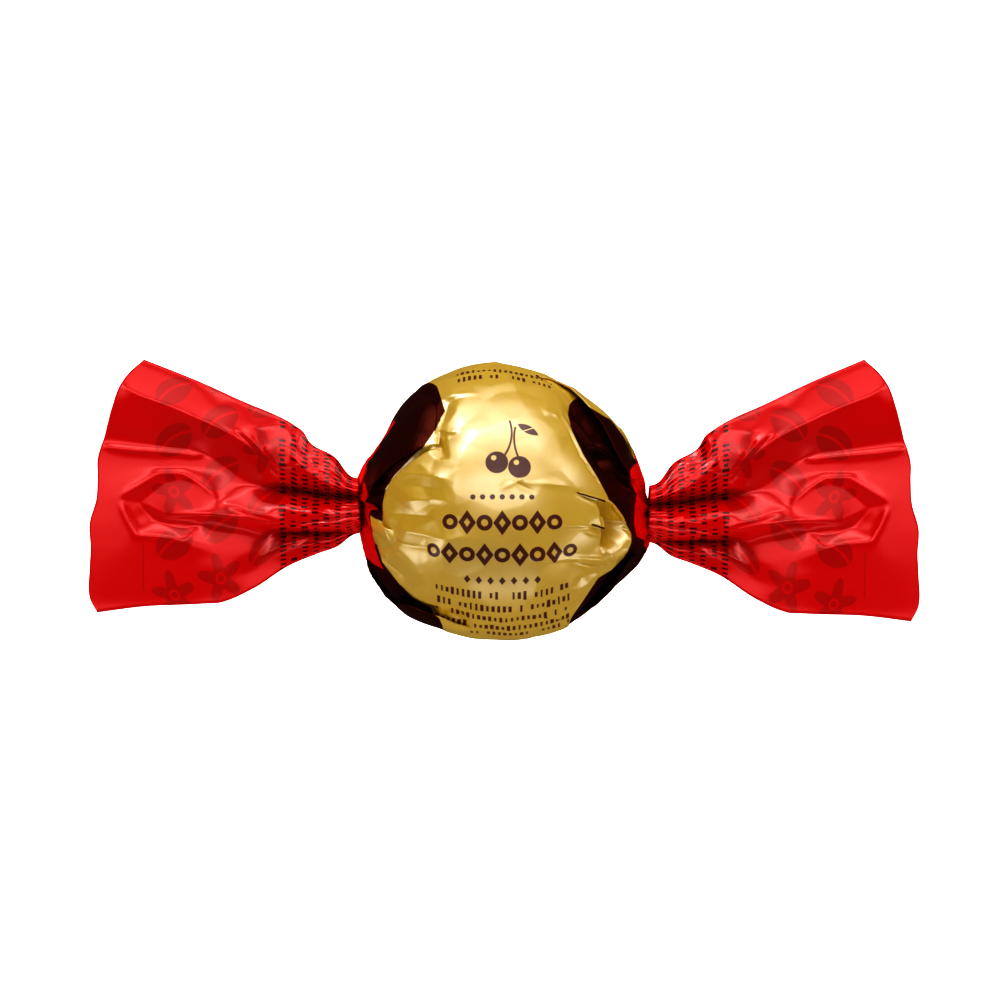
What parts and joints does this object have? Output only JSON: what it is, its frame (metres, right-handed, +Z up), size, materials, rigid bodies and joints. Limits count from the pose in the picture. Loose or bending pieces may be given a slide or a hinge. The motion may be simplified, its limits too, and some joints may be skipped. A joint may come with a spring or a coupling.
{
  "type": "wrapped chocolate truffle",
  "caption": "Round chocolate truffle shut in a twist wrapper of printed foil film, with a pleated fan tail at each end.",
  "frame": {"origin": "on the resting surface, under the middle of the wrapper's overall box", "axes": "+X along the wrapper from the left tail to the right tail, +Y towards the top of the label, +Z up out of the label's middle"},
  "size_m": [0.1079, 0.0367, 0.0348],
  "materials": {
    "printed_film": "satin gold metallised film printed with dark brown and red, with glossy red tails"
  },
  "bodies": {
    "root": {"wrapped_truffle": "printed_film"}
  },
  "joints": []
}
